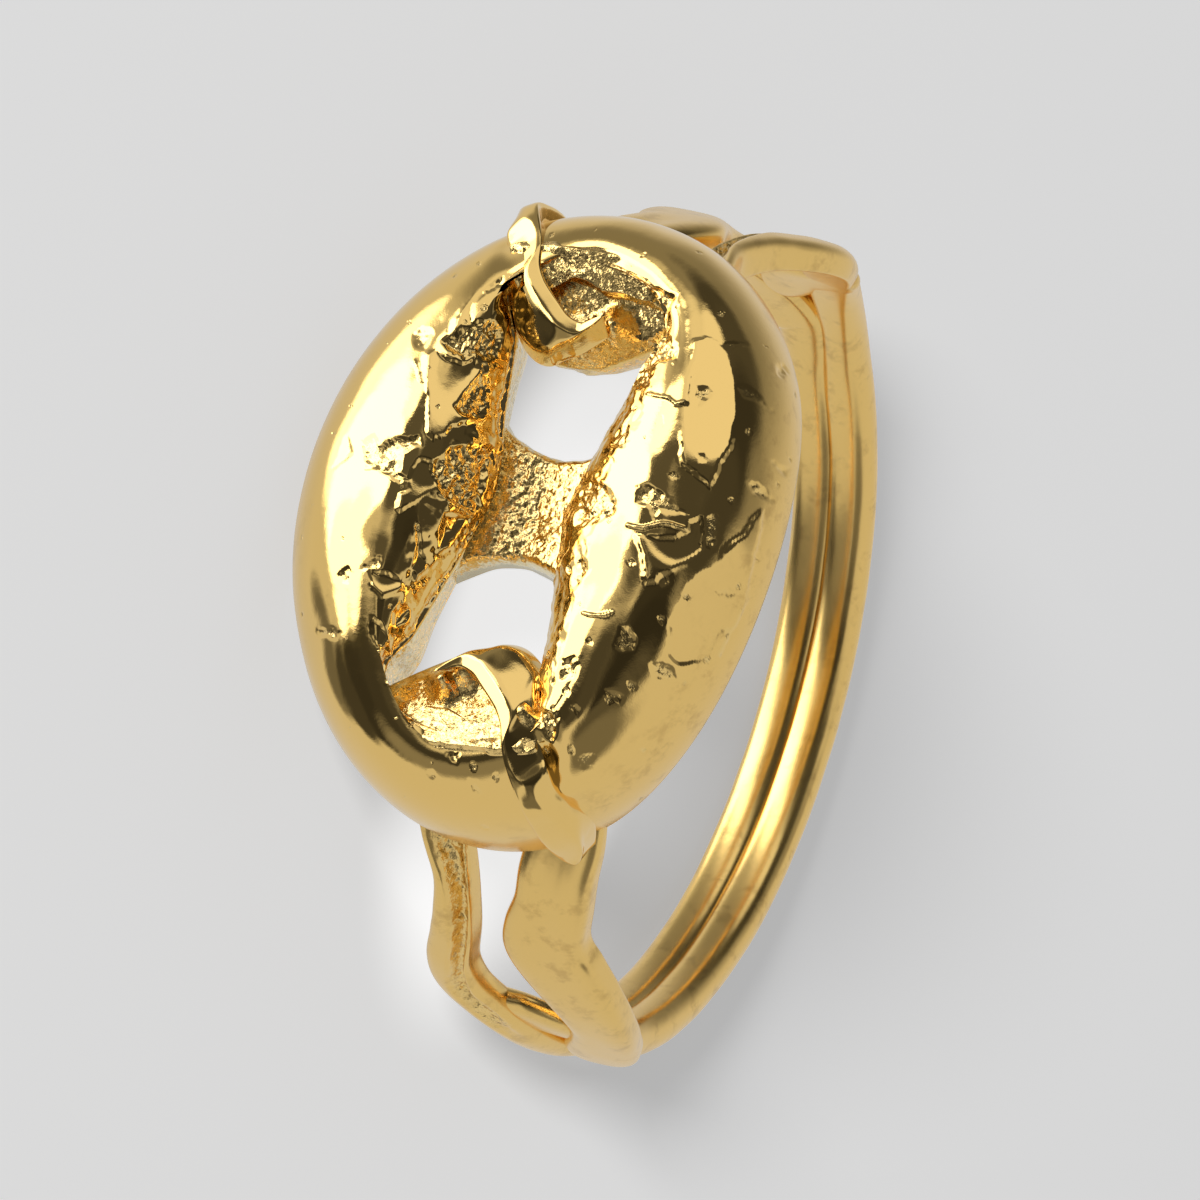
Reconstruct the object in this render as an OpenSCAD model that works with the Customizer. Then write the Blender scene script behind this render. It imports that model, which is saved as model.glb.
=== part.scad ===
// Cast statement ring: a puffed open link on a two-wire band, one solid piece.
// Every size is in millimetres. The ring is drawn upright about the origin (finger hole along X,
// link towards +Z) and is then laid down on its side with the link towards -Y.

/* [Finger hole and band] */
// Finger hole diameter (US size 7)
finger_diameter = 17.3; // [14:0.1:22]
// Diameter of each of the two wires of the band
wire_diameter = 1.14; // [0.8:0.02:2]
// Distance between the two wire centres, across the band
wire_spacing = 0.86; // [0.5:0.02:1.5]
// Depth of the flat that the finger hole leaves in each wire
wire_flat = 0.10; // [0:0.01:0.3]

/* [Link] */
// Width of the link, along the finger axis
link_width = 10.94; // [8:0.02:16]
// Length of the link, around the finger
link_length = 14.2; // [10:0.1:20]
// Height of the highest ridge above the finger axis
crest_height = 11.15; // [10:0.05:14]
// Distance between the two ridges at mid-length
crest_width = 5.5; // [3:0.1:8]
// Length of the closed ridge line
crest_length = 11.4; // [8:0.1:16]
// Height of the slot's lip above the finger axis at mid-length
lip_height = 9.6; // [9:0.05:11]
// Height of the widest line of the link above the finger axis
widest_height = 8.66; // [7.5:0.02:10]

/* [Crossbar] */
// Top of the crossbar above the finger axis
bar_height = 9.22; // [9:0.02:10]
// Half length of the crossbar at its narrow middle
bar_waist = 1.22; // [0.6:0.02:2]
// Half length of the crossbar where it meets the lobes
bar_root = 1.8; // [0.8:0.02:3]
// Top of the ledges under the hook ends
ledge_height = 9.05; // [8.8:0.05:10]
// Top of the shelf between each ledge and the end of the slot
shelf_height = 9.5; // [8.8:0.05:10]

/* [Resting position] */
// Shift along Y that centres the resting ring over the origin
rest_shift = 1.005; // [-5:0.005:5]

/* [Detail] */
// Points around a wire's section
section_points = 14; // [8:2:32]
// Columns around the link
link_columns = 76; // [36:4:120]

/* [Hidden] */
finger_radius = finger_diameter / 2;
wire_radius = wire_diameter / 2;
wire_path = finger_radius + wire_radius - wire_flat;
wire_offset = wire_spacing / 2;
// The ring rests on the side of the link and on the back of the nearer wire.
rest_span = [widest_height + wire_path, link_width / 2 - wire_offset];
rest_lean = atan2(rest_span[1], rest_span[0]) - asin(wire_radius / norm(rest_span));
rest_lift = link_width / 2 * cos(rest_lean) - widest_height * sin(rest_lean);
gold = [0.83, 0.65, 0.29];

// Lip of the slot, lower half, one point for each 10 degrees of the link's outline.
lip_points = [
    [-0.90, 0.00], [-1.05, -0.95], [-1.26, -1.86], [-1.47, -2.72], [-1.62, -3.50],
    [-1.88, -4.17], [-1.72, -4.72], [-1.28, -5.12], [-0.65, -5.35], [0.05, -5.45],
    [0.70, -5.45], [1.25, -5.33], [1.70, -4.95], [1.80, -4.30], [1.52, -3.60],
    [1.38, -2.75], [1.22, -1.80], [1.00, -0.85], [0.90, 0.00]];

// Hook end of a strand, from its curled tip over the link's end: x, y, z, width, thickness.
hook_points = [
    [-1.25, -4.35, 8.95, 0.30, 0.40],
    [-0.98, -4.20, 9.15, 0.85, 0.80],
    [-0.45, -3.90, 9.32, 1.10, 0.95],
    [0.20, -3.80, 9.42, 1.20, 1.05],
    [0.85, -4.08, 9.58, 1.25, 1.10],
    [1.38, -4.68, 9.82, 1.25, 1.10],
    [1.82, -5.38, 9.85, 1.30, 1.10],
    [2.10, -6.05, 9.30, 1.35, 1.05],
    [2.24, -6.50, 8.30, 1.65, 1.00]];

// Near shoulder of the strand, down to its wire: x, radius, angle, width, thickness.
near_points = [
    [2.16, 9.25, -44, 1.90, 1.00],
    [1.80, 9.06, -50, 1.95, 1.00],
    [1.48, 8.98, -56, 2.05, 1.00],
    [1.22, 9.00, -62, 2.10, 1.00],
    [1.12, 8.98, -68, 2.10, 1.00],
    [1.14, 8.90, -74, 2.00, 1.00],
    [1.10, 8.82, -81, 1.85, 1.00],
    [0.95, 8.84, -88, 1.60, 1.00],
    [0.70, 8.98, -95, 1.30, 1.05]];

// Far shoulder of the strand, from its wire to the link's underside: x, radius, angle, width, thickness.
far_points = [
    [0.50, 9.17, 98, 1.18, 1.12],
    [0.90, 9.12, 93, 1.15, 1.05],
    [1.34, 9.04, 87, 1.20, 0.98],
    [1.56, 8.98, 80, 1.20, 0.95],
    [1.44, 9.00, 72, 1.15, 0.98],
    [1.20, 9.06, 64, 1.10, 1.00],
    [1.02, 9.10, 56, 1.05, 1.00],
    [0.92, 9.14, 48, 1.10, 1.05],
    [0.88, 9.40, 40, 1.10, 0.90]];

// Dents hammered and cast into the lobes: x, y, radius, depth.
dents = [
    [3.6, 2.6, 0.8, 0.10], [3.3, 0.6, 0.9, 0.09], [3.9, -1.4, 0.9, 0.10], [2.3, 2.2, 0.6, 0.12],
    [2.2, -0.3, 0.6, 0.12], [3.0, -3.4, 0.8, 0.10], [4.6, 1.2, 0.7, 0.08], [-1.9, 1.2, 0.7, 0.15],
    [-2.3, 3.2, 0.7, 0.12], [-2.1, -1.0, 0.7, 0.14], [-3.3, 1.8, 0.8, 0.10], [-2.6, -2.6, 0.7, 0.12],
    [-3.6, -0.4, 0.8, 0.08], [-3.2, -4.2, 0.8, 0.08]];

function smooth(v) = let(t = min(max(v, 0), 1)) t * t * (3 - 2 * t);
function lip_at(t) =
    let(u = (t % 360 + 360) % 360,
        w = (u >= 180 ? u - 180 : u) / 10,
        i = min(floor(w), 17),
        p = lip_points[i] + (lip_points[i + 1] - lip_points[i]) * (w - i))
    u >= 180 ? p : -p;
function crest_at(t) = [crest_width / 2 * cos(t), crest_length / 2 * sin(t)];
function rim_at(t) = [link_width / 2 * cos(t), link_length / 2 * sin(t)];
function crest_z(y) = crest_height - 1.15 * pow(abs(y) / 5.7, 2);
function widest_z(y) = widest_height - 1.1 * pow(abs(y) / 7.1, 2);
function lip_z(y) = lip_height + 0.42 * smooth((abs(y) - 2.6) / 2.4);
function dent_at(x, y) = [for (d = dents) let(q = (pow(x - d[0], 2) + pow(y - d[1], 2)) / (d[2] * d[2])) q < 6 ? d[3] * exp(-q) : 0] * [for (d = dents) 1];

function outer_point(t, a) =
    let(c = crest_at(t), o = rim_at(t), m = c + (o - c) * cos(a), w = widest_z(o[1]),
        z = a > 0 ? w + (crest_z(c[1]) - w) * sin(a) : w + 2.5 * sin(a))
    [m[0], m[1], z - (a > 10 ? dent_at(m[0], m[1]) : 0)];
function inner_point(t, b) =
    let(c = crest_at(t), l = lip_at(t), m = c + (l - c) * sin(78 * b) / sin(78),
        z = lip_z(l[1]) + (crest_z(c[1]) - lip_z(l[1])) * (cos(78 * b) - cos(78)) / (1 - cos(78)))
    [m[0], m[1], z - (b < 0.9 ? dent_at(m[0], m[1]) : 0)];
function wall_point(t, z) = let(l = lip_at(t)) [l[0] * 1.25, l[1] * 1.01, z];
function link_section(t) = concat(
    [for (a = [-52, -28, 0, 20, 40, 58, 75, 90]) outer_point(t, a)],
    [for (b = [0.28, 0.52, 0.74, 0.9, 1]) inner_point(t, b)],
    [wall_point(t, 8.4), wall_point(t, 5.6)]);

function spline(p, i, u) =
    let(n = len(p), a = p[max(i - 1, 0)], b = p[i], c = p[min(i + 1, n - 1)], d = p[min(i + 2, n - 1)])
    ((2 * b) + (c - a) * u + (2 * a - 5 * b + 4 * c - d) * u * u
        + (3 * b - a - 3 * c + d) * u * u * u) / 2;
function smooth_path(p, steps) = concat(
    [for (i = [0 : len(p) - 2]) for (k = [0 : steps - 1]) spline(p, i, k / steps)],
    [p[len(p) - 1]]);
function polar_path(rows) = [for (r = rows) [r[0], r[1] * sin(r[2]), r[1] * cos(r[2]), r[3], r[4]]];
function wire_points() = [for (a = [-103 : -7 : -257])
    [wire_offset, wire_path * sin(a), wire_path * cos(a), wire_diameter, wire_diameter]];

function place(p) = [p[0], p[1], p[2]];
function unit(v) = v / max(norm(v), 0.000001);
function strand_ring(p, i) =
    let(n = len(p),
        t = unit(place(p[min(i + 1, n - 1)]) - place(p[max(i - 1, 0)])),
        r = unit([0, p[i][1], p[i][2]]),
        s = unit(cross(t, r)),
        u = cross(s, t))
    [for (k = [0 : section_points - 1]) let(a = 360 * k / section_points)
        place(p[i]) + s * (cos(a) * p[i][3] / 2) + u * (sin(a) * p[i][4] / 2)];

// Solid through a row of closed loops with the same number of points, flat at both ends.
module loft(loops) {
    n = len(loops);
    m = len(loops[0]);
    side = [for (i = [0 : n - 2]) for (k = [0 : m - 1])
        let(a = i * m + k, b = i * m + (k + 1) % m, c = a + m, d = b + m)
        each [[a, b, d], [a, d, c]]];
    ends = [[for (k = [m - 1 : -1 : 0]) k], [for (k = [0 : m - 1]) (n - 1) * m + k]];
    polyhedron(points = [for (l = loops) each l], faces = concat(side, ends), convexity = 10);
}

// Solid through a closed row of closed loops.
module closed_loft(loops) {
    n = len(loops);
    m = len(loops[0]);
    side = [for (i = [0 : n - 1]) for (k = [0 : m - 1])
        let(j = (i + 1) % n, a = i * m + k, b = i * m + (k + 1) % m, c = j * m + k, d = j * m + (k + 1) % m)
        each [[a, b, d], [a, d, c]]];
    polyhedron(points = [for (l = loops) each l], faces = side, convexity = 10);
}

module link() {
    closed_loft([for (i = [0 : link_columns - 1]) link_section(360 * i / link_columns)]);
}

module crossbar() {
    translate([0, 0, 5.6])
        linear_extrude(height = bar_height - 5.6, convexity = 4)
            polygon([for (s = [-1, 1]) for (k = [-4 : 4])
                let(x = -s * k * 1.5 / 4) [x, s * (bar_waist + (bar_root - bar_waist) * pow(k / 4, 2))]]);
}

module ledge() {
    translate([0, 0, 5.6])
        linear_extrude(height = ledge_height - 5.6, convexity = 4)
            polygon([[-1.9, -4.3], [-1.2, -3.95], [0, -3.6], [1.1, -3.6], [1.75, -3.9], [2.1, -4.6],
                [1.6, -5.6], [-1.6, -5.6], [-2.1, -4.8]]);
    translate([0, 0, 5.6])
        linear_extrude(height = shelf_height - 5.6, convexity = 4)
            polygon([[-1.5, -4.95], [-0.6, -4.85], [0.4, -4.6], [1.1, -4.3], [1.9, -4.0], [2.1, -4.6],
                [1.6, -5.6], [-1.6, -5.6]]);
}

module strand() {
    p = concat(
        smooth_path(concat(hook_points, polar_path(near_points)), 2),
        wire_points(),
        smooth_path(polar_path(far_points), 2));
    loft([for (i = [0 : len(p) - 1]) strand_ring(p, i)]);
}

module casting() {
    link();
    crossbar();
    for (turn = [0, 180]) {
        rotate([0, 0, turn]) ledge();
        rotate([0, 0, turn]) strand();
    }
}

module upright_ring() {
    difference() {
        resize([link_width, 0, 0]) casting();
        translate([-link_width, 0, 0])
            rotate([0, 90, 0])
                cylinder(r = finger_radius, h = 2 * link_width, $fn = 180);
    }
}

module ring() {
    color(gold)
        translate([0, rest_shift, rest_lift])
            rotate([0, 0, 90])
                rotate([0, rest_lean - 90, 0])
                    upright_ring();
}

ring();
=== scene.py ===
import bmesh
import bpy
import math
import numpy as np
from mathutils import Matrix, Vector


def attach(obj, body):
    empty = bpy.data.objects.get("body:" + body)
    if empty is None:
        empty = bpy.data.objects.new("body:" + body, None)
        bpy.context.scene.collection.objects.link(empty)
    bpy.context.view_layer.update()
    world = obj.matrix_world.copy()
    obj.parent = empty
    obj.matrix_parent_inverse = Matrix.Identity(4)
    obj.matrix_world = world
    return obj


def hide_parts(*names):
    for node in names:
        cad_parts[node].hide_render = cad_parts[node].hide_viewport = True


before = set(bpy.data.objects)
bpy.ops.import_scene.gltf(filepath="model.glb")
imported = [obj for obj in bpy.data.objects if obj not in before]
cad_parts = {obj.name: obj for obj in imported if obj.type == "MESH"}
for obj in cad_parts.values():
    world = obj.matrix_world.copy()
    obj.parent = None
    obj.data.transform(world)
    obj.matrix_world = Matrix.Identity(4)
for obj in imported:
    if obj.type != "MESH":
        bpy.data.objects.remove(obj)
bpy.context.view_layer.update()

# All shaping is done in millimetres on the ring as it is worn: the finger axis is x, the link stands
# towards +z, and the hooks, shoulders and wires look the same after half a turn about z.
# toFloor() then lays the ring down on its side, where the frame has it.

restPose = {
    "lean": math.radians(14.0587),   # how far the finger axis leans from upright
    "lift": 3.2025,
    "shift": 1.005,
}


def laidDown(x, y, z):
    s, c = math.sin(restPose["lean"]), math.cos(restPose["lean"])
    return -y, s * x - c * z, c * x + s * z


def toFloor(points):
    across, along, up = laidDown(*np.moveaxis(np.asarray(points, float), -1, 0))
    return np.stack([across, along + restPose["shift"], up + restPose["lift"]], -1) * 0.001


def turnToFloor(direction):
    return Vector(laidDown(*direction))


def halfTurn(points):
    return points * np.array([-1.0, -1.0, 1.0])


# from a fit, done apart from this script, to the band's circle and the two-fold symmetry of the link
camera = {
    "roll": math.radians(17.878),
    "pitch": math.radians(11.993),
    "yaw": math.radians(22.419),
    "distance": 210.38,             # mm
    "pixelsPerMm": 44.70,
    "centre": (666.4, 637.65),      # where the middle of the finger hole lies in the photograph
    "photoSize": 1200,
}


def cameraAxis(right, up, back):
    cr, sr = math.cos(camera["roll"]), math.sin(camera["roll"])
    cp, sp = math.cos(camera["pitch"]), math.sin(camera["pitch"])
    cy, sy = math.cos(camera["yaw"]), math.sin(camera["yaw"])
    x1, y2 = right * cr - up * sr, right * sr + up * cr
    y, z1 = y2 * cp - back * sp, y2 * sp + back * cp
    return (x1 * cy + z1 * sy, y, -x1 * sy + z1 * cy)


cameraRight, cameraUp, cameraBack = (np.array(cameraAxis(*axis)) for axis in np.eye(3))


def seen(points):
    # where points of the upright ring lie in the photograph, in pixels
    scale = camera["pixelsPerMm"] * camera["distance"] / (camera["distance"] - points @ cameraBack)
    x, y = camera["centre"]
    return x + scale * (points @ cameraRight), y - scale * (points @ cameraUp)


# surface noise

def cellValue(i, j, k, seed):
    n = (i * 73856093) ^ (j * 19349663) ^ (k * 83492791) ^ (seed * 2654435761)
    n = (n ^ (n >> 13)) & 0xffffffff
    n = (n * 1274126177 + 12345) & 0xffffffff
    n = (n ^ (n >> 16)) & 0xffffffff
    n = (n * 2246822519) & 0xffffffff
    n = (n ^ (n >> 15)) & 0xffffff
    return n / float(0xffffff) * 2 - 1


def lumps(points, size, seed):
    # smooth value noise from -1 to 1, with features about as wide as size
    q = points / size + 512.0
    cell = np.floor(q).astype(np.int64)
    f = q - cell
    f = f * f * f * (f * (f * 6 - 15) + 10)
    total = 0.0
    for step in np.ndindex(2, 2, 2):
        weight = np.where(step, f, 1 - f).prod(-1)
        total = total + weight * cellValue(*np.moveaxis(cell + step, -1, 0), seed)
    return total


def smooth(v):
    v = np.clip(v, 0.0, 1.0)
    return v * v * (3 - 2 * v)


def unit(v):
    return v / np.linalg.norm(v, axis=-1, keepdims=True)


def softened(closed, times, axis):
    # rounds off the corners of closed rows of points
    for step in range(times):
        closed = (np.roll(closed, 1, axis) + 2 * closed + np.roll(closed, -1, axis)) / 4
    return closed


def followTable(table, u):
    # smooth curve through the rows of a table, u counts rows
    table = np.asarray(table, float)
    last = len(table) - 1
    u = np.clip(u, 0, last - 1e-9)
    i = u.astype(int)
    f = (u - i)[..., None]
    a, b, c, d = (table[np.clip(i + k, 0, last)] for k in (-1, 0, 1, 2))
    bend = (2 * a - 5 * b + 4 * c - d) * f * f
    return 0.5 * (2 * b + (c - a) * f + bend + (3 * b - a - 3 * c + d) * f ** 3)


def runningLength(points):
    return np.concatenate([[0], np.cumsum(np.linalg.norm(np.diff(points, axis=0), axis=1))])


def evenlyAlong(path, length, count, endpoint=True):
    # values at even steps along a path, whose running length is known
    at = np.linspace(0, length[-1], count, endpoint=endpoint)
    return np.stack([np.interp(at, length, column) for column in path.T], -1)


def gridNormals(grid, closedColumns=True):
    du = np.roll(grid, -1, 0) - np.roll(grid, 1, 0)
    dv = np.roll(grid, -1, 1) - np.roll(grid, 1, 1)
    if not closedColumns:
        du[0], du[-1] = grid[1] - grid[0], grid[-1] - grid[-2]
    n = np.cross(du, dv)
    return n / (np.linalg.norm(n, axis=-1, keepdims=True) + 1e-12)


# the open link

link = {
    "columns": 1120,
    "rows": (66, 74, 20, 5),         # outer slope, inner slope, slot wall, underside
    "rim": (5.47, 7.1),              # half width and half length of the outline
    "crest": (2.70, 5.7),            # where the lobes are highest
    "crestShift": (0.38, 0.50),      # the right-hand ridge stands further out, and more so at its ends
    "crestHeight": 11.15,
    "crestFall": 1.15,               # how much lower the crest is at its ends
    "widestHeight": 8.66,
    "widestFall": 1.1,
    "belowWidest": 2.5,
    "lipHeight": 9.6,
    "lipRise": 0.42,                 # towards the ends of the slot
    "boreRadius": 8.65,
    "innerSweep": math.radians(78),  # how far the inner slope has turned down where it meets the lip
    "footSpread": (1.25, 1.01),      # how much wider and longer the slot is at the finger hole
    "slot": [(-.90, 0), (-1.05, -.95), (-1.26, -1.86), (-1.47, -2.72), (-1.62, -3.5), (-1.88, -4.17),
             (-1.72, -4.72), (-1.28, -5.12), (-.65, -5.35), (.05, -5.45), (.70, -5.45), (1.25, -5.33),
             (1.70, -4.95), (1.80, -4.30), (1.52, -3.60), (1.38, -2.75), (1.22, -1.80), (1.0, -.85)],
    # where the rough shelf beside the slot starts, every 30 degrees from the right: 1 crest, 2 lip
    "shelf": [1.95, 1.86, 1.78, 1.74, 1.86, 1.95, 1.94, 1.86, 1.66, 1.60, 1.72, 1.93],
    # where the hammered skin starts, measured the same way
    "hammered": [1.28, 1.20, 1.45, 1.60, 1.42, 1.34, 1.34, 1.34, 1.42, 1.50, 1.40, 1.30],
    "hammering": 0.024,
    "shelfDrop": 0.06,
    "lumpHeight": 0.045,
    "lipBead": 0.05,
    "undercut": 0.05,
    "grain": 0.020,
}


def slotEdge(t):
    half = np.array(link["slot"], float)
    whole = np.concatenate([-half, half])
    whole = np.concatenate([whole[-2:], whole, whole[:4]])
    return followTable(whole, (np.degrees(t) % 360) / 10 + 2)


def crestHeight(y):
    return link["crestHeight"] - link["crestFall"] * (np.abs(y) / link["crest"][1]) ** 2


def widestHeight(y):
    return link["widestHeight"] - link["widestFall"] * (np.abs(y) / link["rim"][1]) ** 2


def lipHeight(y):
    return link["lipHeight"] + link["lipRise"] * smooth((np.abs(y) - 2.6) / 2.4)


def boreTop(y, above=0.0):
    # how high the wall of the finger hole stands, or a little above the wall
    return np.sqrt((link["boreRadius"] + above) ** 2 - y ** 2)


def outOfBore(grid, above=0.0):
    # moves what lies in the finger hole out to its wall
    radius = link["boreRadius"] + above
    rho = np.hypot(grid[..., 1], grid[..., 2])
    grid[..., 1:] *= np.where(rho < radius, radius / np.maximum(rho, 1e-6), 1.0)[..., None]
    return grid


def slopeRows(count, first=0):
    return np.linspace(first, first + 1, count, endpoint=False)[None]


def linkGrid():
    t = np.linspace(0, 2 * np.pi, link["columns"], endpoint=False)
    shift = link["crestShift"][0] + link["crestShift"][1] * np.sin(t) ** 2
    crest = np.stack([link["crest"][0] * np.cos(t) + shift * smooth(np.cos(t) / 0.7),
                      link["crest"][1] * np.sin(t)], -1)
    rim = np.stack([link["rim"][0] * np.cos(t), link["rim"][1] * np.sin(t)], -1)
    lip = slotEdge(t)
    widest, top, lipZ = widestHeight(rim[:, 1]), crestHeight(crest[:, 1]), lipHeight(lip[:, 1])

    def outer(angle):
        flat = crest[:, None] + (rim - crest)[:, None] * np.cos(angle)[..., None]
        rise = np.where(angle > 0, (top - widest)[:, None], link["belowWidest"]) * np.sin(angle)
        return np.concatenate([flat, (widest[:, None] + rise)[..., None]], -1)

    # where the outer slope meets the finger hole
    low, high = np.full((len(t), 1), -1.05), np.full((len(t), 1), 1.05)
    for step in range(30):
        middle = (low + high) / 2
        p = outer(middle)
        inside = np.hypot(p[..., 1], p[..., 2]) < link["boreRadius"]
        low, high = np.where(inside, middle, low), np.where(inside, high, middle)
    nOuter, nInner, nWall, nUnder = link["rows"]
    outside = outer(high + (np.pi / 2 - high) * slopeRows(nOuter))

    # inner slope down to the lip
    sweep, b = link["innerSweep"], slopeRows(nInner)
    flat = crest[:, None] + (lip - crest)[:, None] * (np.sin(sweep * b) / math.sin(sweep))[..., None]
    z = lipZ[:, None] + (top - lipZ)[:, None] * (np.cos(sweep * b) - math.cos(sweep)) / (1 - math.cos(sweep))
    inner = np.concatenate([flat, z[..., None]], -1)

    # wall of the slot, and the underside round the finger
    foot = lip * link["footSpread"]
    g = slopeRows(nWall)
    flat = lip[:, None] + (foot - lip)[:, None] * g[..., None]
    z = lipZ[:, None] + (boreTop(foot[:, 1]) - lipZ)[:, None] * g
    wall = np.concatenate([flat, z[..., None]], -1)
    flat = foot[:, None] + (outside[:, 0, :2] - foot)[:, None] * slopeRows(nUnder)[..., None]
    under = np.concatenate([flat, boreTop(flat[..., 1])[..., None]], -1)
    zone = np.concatenate([slopeRows(n, first) for first, n in enumerate(link["rows"])], 1)
    return np.concatenate([outside, inner, wall, under], 1), np.repeat(zone, len(t), 0)


# The relief of the bulge follows outlines that were picked in enlarged crops of the photograph.

# corner of each crop in photograph pixels, and how many times it is enlarged
crops = {
    "left": (290, 270, 3.485),
    "right": (560, 280, 3.733),
    "end": (400, 600, 5.227),
    "arch": (400, 600, 3.3187),
}


def inPhoto(crop, x, y):
    left, top, enlarged = crops[crop]
    return left + x / enlarged, top + y / enlarged


def outlineInPhoto(crop, points):
    return [inPhoto(crop, x, y) for x, y in points]


# flats: crop, direction that the flat faces, outline in the crop's pixels
plates = {
    "leftTall": ("left", (.40, .22, .89), [
        (470, 290), (505, 280), (545, 300), (600, 318), (640, 308), (668, 345), (655, 368), (625, 395),
        (600, 430), (572, 470), (590, 500), (640, 525), (565, 545), (540, 578), (500, 592), (476, 572),
        (478, 440), (470, 380)]),
    "leftUpper": ("left", (.40, .22, .89), [
        (555, 230), (575, 170), (610, 120), (650, 85), (690, 60), (740, 32), (735, 50), (680, 75),
        (640, 110), (630, 150), (640, 175), (680, 180), (640, 205), (590, 215)]),
    "leftMiddle": ("left", (.36, .18, .91), [
        (455, 655), (485, 660), (495, 690), (520, 740), (500, 765), (460, 790), (430, 810), (385, 845),
        (372, 830), (380, 780), (420, 760), (415, 730), (430, 690)]),
    "leftSmall": ("left", (.36, .22, .90), [
        (280, 1050), (330, 1050), (385, 1080), (395, 1110), (360, 1130), (320, 1140), (290, 1110)]),
    "leftLow": ("left", (.42, .18, .89), [
        (385, 1150), (425, 1190), (435, 1230), (400, 1245), (360, 1235), (365, 1190)]),
    "leftTongue": ("left", (.45, .15, .88), [
        (285, 1205), (320, 1230), (355, 1290), (352, 1330), (310, 1310), (280, 1270)]),
    "besideLip": ("left", (.60, .10, .79), [
        (545, 850), (615, 865), (600, 930), (560, 980), (515, 985), (530, 900)]),
    "belowLip": ("left", (.60, .10, .79), [
        (445, 890), (460, 990), (480, 1040), (440, 1080), (428, 1040), (445, 960)]),
    "rightTall": ("right", (.38, .27, .88), [
        (495, 225), (545, 215), (585, 225), (610, 265), (635, 320), (640, 420), (652, 520), (640, 600),
        (630, 650), (600, 690), (580, 740), (560, 778), (530, 750), (500, 720), (455, 695), (445, 650),
        (455, 560), (470, 470), (485, 380), (490, 300)]),
    "rightMiddle": ("right", (.40, .20, .90), [
        (290, 960), (330, 950), (420, 960), (480, 930), (480, 900), (530, 880), (540, 920), (530, 1000),
        (480, 1050), (420, 1090), (370, 1110), (350, 1130), (315, 1135), (310, 1080), (300, 1010)]),
    "rightLow": ("right", (.78, -.22, .58), [
        (755, 855), (750, 920), (735, 1000), (715, 1080), (700, 1170), (690, 1220), (640, 1280),
        (600, 1330), (560, 1400), (520, 1430), (450, 1440), (400, 1400), (420, 1340), (410, 1290),
        (430, 1250), (480, 1140), (510, 1110), (570, 1080), (600, 1030), (640, 980), (690, 940),
        (720, 890)]),
}

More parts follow.
